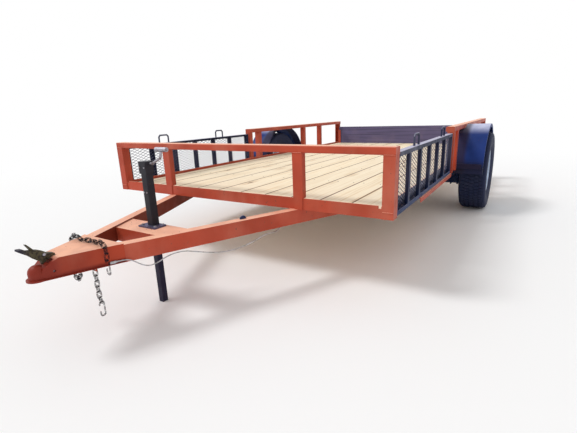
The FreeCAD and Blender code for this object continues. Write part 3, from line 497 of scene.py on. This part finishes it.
# Deck screws: two rows of countersunk heads over each crossmember, and one along each
# end of every plank.
heads = bmesh.new()
head_wide = 0.0048
head_narrow = 0.0040
head_tall = 0.0010
head_rise = 0.0003
end_inset = 0.03
cross_pitch = 0.61
cross_inset = 0.026
planks = 11
rows = [deck_low.y - bed_front + end_inset, deck_high.y - bed_front - end_inset]
rows += [cross_pitch * (member + 1) + cross_inset for member in range(5)]
for plank_number in range(planks):
    edge = deck_high.x - plank_pitch * plank_number
    for across in (0.035, 0.147):
        if edge - across > deck_low.x + 0.01:
            for row in rows:
                head = bmesh.ops.create_cone(heads, cap_ends=True, segments=10, radius1=head_wide,
                                             radius2=head_narrow, depth=head_tall)
                bmesh.ops.translate(heads, verts=head["verts"],
                                    vec=(edge - across, row + bed_front, deck_high.z + head_rise))
rusty = Finish("rusted_screw")
bloom = rusty.place.noise(400.0, 4.0)
rusty.feed("Base Color", bloom.between(0.4, 0.6).blend(shade(0.10, 0.055, 0.03), shade(0.20, 0.11, 0.05)))
rusty.feed("Metallic", 0.5)
rusty.feed("Roughness", bloom * 0.3 + 0.45)
rusty.raise_by(bloom, 0.2, 0.0004)
screws = make_piece("deck_screws", heads, rusty)
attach(screws, "chassis")


# Rear board: a rough-sawn plank, stained near black, its grain still showing. It drops
# into two steel brackets and lifts out by hand.
board = Finish("stained_plank")
grain = board.place.noise(1.0, 6.0, (1.6, 1.0, 75.0))
blotch = board.place.noise(5.0, 5.0)
colour = grain.between(0.4, 0.7).blend(shade(0.110, 0.092, 0.200), shade(0.052, 0.044, 0.100))
colour = (blotch.between(0.5, 0.75) * 0.5).blend(colour, shade(0.17, 0.13, 0.21))
board.feed("Base Color", colour)
board.feed("Roughness", grain * 0.25 + 0.5)
board.raise_by(grain, 0.35, 0.0015)
wear(board, "rear_board")


# Zinc-plated fittings: the jack's crank, the hubs and the fasteners. The jack's flange
# is dulled, and the latch has lost its plating and browned.
def plated(name, bright, stain, stained, rough):
    metal = Finish(name)
    cloud = metal.place.noise(30.0, 5.0)
    spots = metal.place.noise(120.0, 6.0).between(stained, stained + 0.12)
    colour = (cloud.between(0.35, 0.7) * 0.5).blend(shade(*bright), shade(*[c * 0.7 for c in bright]))
    colour = spots.blend(colour, shade(*stain))
    metal.feed("Base Color", colour)
    metal.feed("Metallic", 1 - spots * 0.8)
    metal.feed("Roughness", cloud * 0.25 + spots * 0.3 + rough)
    metal.raise_by(cloud, 0.15, 0.001)
    return metal


zinc = plated("zinc_plate", (0.40, 0.39, 0.44), (0.14, 0.085, 0.07), 0.53, 0.26)
wear(zinc, "jack_crank", "hub_left", "hub_right")
dulled = plated("dulled_zinc", (0.13, 0.13, 0.24), (0.07, 0.05, 0.06), 0.52, 0.34)
wear(dulled, "jack_collar")
browned = plated("browned_steel", (0.11, 0.095, 0.060), (0.035, 0.024, 0.018), 0.50, 0.42)
lever = 1 - browned.place.part("Y").between(bed_front - 1.13, bed_front - 1.09)
browned.tint(lever * 0.8, shade(0.020, 0.020, 0.050))
wear(browned, "coupler_latch")


# Fasteners: the jack's pins and flange bolts, the latch's pivot, the coupler's cross
# bolt and the lamps' screws, each a head with tapered sides seated on its plate.
fasteners = bmesh.new()
jack_pin = (0.0042, 0.004, 12)
flange_bolt = (0.008, 0.006, 6)
flange_nut = (0.006, 0.005, 6)
latch_pivot = (0.0065, 0.004, 16)
cross_bolt = (0.0065, 0.005, 6)
lamp_screw = (0.004, 0.0015, 12)
head_sunk = 0.0004


def fastener(place, way, radius, tall, sides):
    head = bmesh.ops.create_cone(fasteners, cap_ends=True, segments=sides, radius1=radius,
                                 radius2=radius * 0.82, depth=tall)
    turned = Vector(way).to_track_quat("Z", "Y").to_matrix()
    bmesh.ops.rotate(fasteners, verts=head["verts"], matrix=turned)
    seated = Vector(place) + Vector(way) * (tall / 2 - head_sunk)
    bmesh.ops.translate(fasteners, verts=head["verts"], vec=seated)


jack_low, jack_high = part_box("jack_sleeve")
flange_low, flange_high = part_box("jack_collar")
jack_centre = (jack_low + jack_high) / 2
for across in (-0.009, 0.009):
    fastener((across, jack_centre.y - 0.020, 0.572), (0, -1, 0), *jack_pin)
for across in (-0.016, 0.016):
    fastener((across, jack_low.y, 0.690), (0, -1, 0), *jack_pin)
    fastener((across * 2.8, flange_low.y + 0.016, flange_high.z), (0, 0, 1), *flange_bolt)
    fastener((across * 2.8, flange_high.y - 0.008, flange_high.z), (0, 0, 1), *flange_nut)
ball_place = -1.082
low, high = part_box("tail_lamp_left")
for side in (-1, 1):
    fastener((side * 0.013, bed_front + ball_place + 0.031, 0.431), (side, 0, 0), *latch_pivot)
    fastener((side * 0.0351, bed_front + ball_place + 0.0409, 0.366), (side, 0, 0), *cross_bolt)
    for inset in (0.02, 0.13):
        fastener((side * (low.x + inset), high.y, (low.z + high.z) / 2), (0, 1, 0), *lamp_screw)
bolts = make_piece("fasteners", fasteners, zinc)
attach(bolts, "chassis")


# Harness lug: a half-round black steel tab welded on top of the left tongue beam,
# where the lamp harness goes into it.
tab_radius = 0.017
tab_thick = 0.008
tongue_angle = 24.2
tab = bmesh.new()
bmesh.ops.create_cone(tab, cap_ends=True, segments=32, radius1=tab_radius, radius2=tab_radius,
                      depth=tab_thick)
bmesh.ops.rotate(tab, verts=tab.verts, matrix=Matrix.Rotation(math.radians(90), 3, "Y"))
cut = bmesh.ops.bisect_plane(tab, geom=list(tab.verts) + list(tab.edges) + list(tab.faces),
                             plane_co=(0, 0, 0), plane_no=(0, 0, 1), clear_inner=True)
bmesh.ops.holes_fill(tab, edges=[g for g in cut["geom_cut"] if isinstance(g, bmesh.types.BMEdge)])
bmesh.ops.bevel(tab, geom=list(tab.edges), affect="EDGES", offset=0.0008, segments=2, profile=0.5,
                material=-1)
bmesh.ops.rotate(tab, verts=tab.verts, matrix=Matrix.Rotation(math.radians(-tongue_angle), 3, "Z"))
tongue_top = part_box("tongue_beam_left")[1].z
bmesh.ops.translate(tab, verts=tab.verts, vec=(0.3415, bed_front - 0.272, tongue_top))
lug = make_piece("harness_lug", tab, black)
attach(lug, "chassis")


# Safety chains: each welded link rounded from its solid's facets, blackened, with
# rust on the crowns that rub.
chain_black = enamel("blackened_chain", (0.008, 0.007, 0.012), (0.040, 0.036, 0.050), (0.08, 0.030, 0.018),
                     chipped=0.64, highlight_strength=0.5, rough=0.50, shine=0.12)
facet_angle = 1.5
swelled_by = 0.0010
for side in ("left", "right"):
    links = bmesh.new()
    links.from_mesh(nodes["safety_chain_" + side].data)
    bmesh.ops.dissolve_limit(links, angle_limit=math.radians(facet_angle), verts=links.verts,
                             edges=links.edges, use_dissolve_boundaries=False, delimit=set())
    for face in links.faces:
        face.smooth = True
    chain = make_piece("rounded_chain_" + side, links, chain_black)
    chain.matrix_world = nodes["safety_chain_" + side].matrix_world
    chain.modifiers.new("round", "SUBSURF").levels = 2
    chain.modifiers["round"].render_levels = 2
    swell = chain.modifiers.new("swell", "DISPLACE")
    swell.strength = swelled_by
    swell.mid_level = 0.0
    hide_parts("safety_chain_" + side)
    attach(chain, "chassis")


# Wheels: pressed steel rims welded to their discs and sprayed with white enamel, tinted
# blue as painted shade, with a few stone chips.
# Painted shade: the white coat is tinted blue.
rim_white = enamel("rim_enamel", (0.70, 0.80, 0.97), (0.80, 0.82, 0.86), (0.20, 0.15, 0.12),
                   chipped=0.70, highlight_strength=0.2, rough=0.30)
wear(rim_white, "rim_left", "rim_right")


# Tyres: a rounded carcass turned about the axle, with five ribs of tread blocks in
# staggered rows, ridges round the sidewalls and dust in the grooves.
rubber = Finish("tyre_rubber")
dust = rubber.place.noise(12.0, 5.0).between(0.4, 0.75)
# Painted sky shade: the rubber's blue tint.
rubber.feed("Base Color", (dust * 0.4).blend(shade(0.012, 0.018, 0.056), shade(0.040, 0.044, 0.074)))
rubber.feed("Roughness", dust * 0.15 + 0.66)
rubber.feed("Specular IOR Level", 0.25)
rubber.raise_by(rubber.place.noise(300.0, 3.0), 0.2, 0.0008)
wall_line = [(0.0864, 0.3375), (0.0965, 0.3350), (0.1040, 0.3275), (0.1072, 0.3170), (0.1080, 0.3000),
             (0.1077, 0.2800), (0.1080, 0.2785), (0.1072, 0.2770), (0.1055, 0.2500), (0.0990, 0.2280),
             (0.0905, 0.2140), (0.0860, 0.2068), (0.0797, 0.2068), (0.0797, 0.1908)]
pitches = 68
turn = 2 * math.pi / pitches
tread_tall = 0.0070
tread_slant = 0.08
tread_sunk = 0.0005
ribs = ((-0.0722, 0.0270, 0.86, 0.0), (-0.0375, 0.0275, 0.90, 0.35), (0.0, 0.0300, 0.93, 0.7),
        (0.0375, 0.0275, 0.90, 0.35), (0.0722, 0.0270, 0.86, 0.0))
for side in ("left", "right"):
    low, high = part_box("tyre_" + side)
    middle = (low + high) / 2
    wheel_radius = (high.z - low.z) / 2
    outline = [(x, radius) for x, radius in wall_line] + [(-x, radius) for x, radius in reversed(wall_line)]
    carcass = bmesh.new()
    first = bmesh.ops.create_vert(carcass, co=(middle.x + outline[0][0], middle.y,
                                               middle.z + outline[0][1]))["vert"][0]
    last = first
    for x, radius in outline[1:]:
        last = bmesh.ops.extrude_vert_indiv(carcass, verts=[last])["verts"][0]
        last.co = (middle.x + x, middle.y, middle.z + radius)
    bmesh.ops.contextual_create(carcass, geom=[last, first])
    bmesh.ops.spin(carcass, geom=list(carcass.verts) + list(carcass.edges), cent=middle, axis=(1, 0, 0),
                   angle=2 * math.pi, steps=96, use_merge=True)
    bmesh.ops.remove_doubles(carcass, verts=carcass.verts, dist=1e-6)
    bmesh.ops.recalc_face_normals(carcass, faces=carcass.faces)
    for face in carcass.faces:
        face.smooth = True
    block_geom = []
    for rib, (centre, wide, long_share, lag) in enumerate(ribs):
        block = bmesh.ops.create_cube(carcass, size=1.0)["verts"]
        bmesh.ops.scale(carcass, verts=block, vec=(wide, wheel_radius * turn * long_share, tread_tall))
        bmesh.ops.rotate(carcass, verts=block, matrix=Matrix.Rotation(tread_slant * (rib - 2), 3, "Z"))
        block_tall = middle.z + wheel_radius - tread_sunk - tread_tall / 2
        bmesh.ops.translate(carcass, verts=block, vec=(middle.x + centre, middle.y, block_tall))
        bmesh.ops.rotate(carcass, verts=block, cent=middle, matrix=Matrix.Rotation(turn * lag, 3, "X"))
        block_geom += block
        block_geom += list({edge for vert in block for edge in vert.link_edges})
        block_geom += list({face for vert in block for face in vert.link_faces})
    for pitch in range(1, pitches):
        copy = bmesh.ops.duplicate(carcass, geom=block_geom)["geom"]
        bmesh.ops.rotate(carcass, verts=[g for g in copy if isinstance(g, bmesh.types.BMVert)], cent=middle,
                         matrix=Matrix.Rotation(turn * pitch, 3, "X"))
    tread = make_piece("treaded_tyre_" + side, carcass, rubber)
    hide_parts("tyre_" + side)
    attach(tread, "wheel_" + side)


# Tail lamps: moulded red lenses with fine upright flutes, screwed to their brackets
# at the rear corners.
lens = Finish("lamp_lens")
flutes = lens.place.node("ShaderNodeTexWave", {"bands_direction": "X"},
                         {"Vector": lens.place, "Scale": 90.0})
lens.feed("Base Color", flutes.blend(shade(0.42, 0.012, 0.010), shade(0.30, 0.008, 0.008)))
lens.feed("Roughness", 0.12)
lens.feed("Coat Weight", 0.6)
lens.raise_by(flutes, 0.3, 0.001)
wear(lens, "tail_lamp_left", "tail_lamp_right")


# Studio: a pale floor that fades to white far off, one broad lamp ahead of the trailer
# on its right, and a surround that lights it at two thirds of the white that shows.
sky = bpy.data.worlds.new("surround")
bpy.context.scene.world = sky
sky.use_nodes = True
seen = Field(sky.node_tree.nodes.new("ShaderNodeLightPath").outputs["Is Camera Ray"])
gloss = Field(seen.socket.node.outputs["Is Glossy Ray"])
clear = Field(seen.socket.node.outputs["Is Transmission Ray"])
showing = seen.higher(gloss).higher(clear)
sky_light = 0.68
background = sky.node_tree.nodes["Background"]
background.inputs["Color"].default_value = (1, 1, 1, 1)
sky.node_tree.links.new((showing * (1 - sky_light) + sky_light).socket, background.inputs["Strength"])

ground = bmesh.new()
bmesh.ops.create_grid(ground, x_segments=1, y_segments=1, size=120)
pale = Finish("floor_pale")
floor = make_piece("floor", ground, pale)
pale.feed("Base Color", shade(0.94, 0.94, 0.94))
pale.feed("Roughness", 0.9)
fade_starts = 2.6
fade_ends = 7.0
reach = pale.place.node("ShaderNodeVectorMath", {"operation": "LENGTH"}, {0: pale.place}, "Value")
near = Field(pale.material.node_tree.nodes.new("ShaderNodeLightPath").outputs["Is Camera Ray"])
haze = near.node("ShaderNodeEmission", {}, {"Color": (1, 1, 1, 1), "Strength": 1.0})
shown = near.node("ShaderNodeMixShader", {}, {0: reach.between(fade_starts, fade_ends) * near,
                                              1: Field(pale.shader.outputs[0]), 2: haze})
exit_node = pale.material.node_tree.nodes["Material Output"]
pale.material.node_tree.links.new(shown.socket, exit_node.inputs["Surface"])

sun = bpy.data.objects.new("lamp", bpy.data.lights.new("lamp", "SUN"))
bpy.context.scene.collection.objects.link(sun)
sun.data.energy = 1.35
sun.data.angle = math.radians(16)
sun.rotation_mode = "QUATERNION"
sun.rotation_quaternion = Vector((0.62, 0.42, -1.0)).to_track_quat("-Z", "Y")
floor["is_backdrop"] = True


low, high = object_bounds()
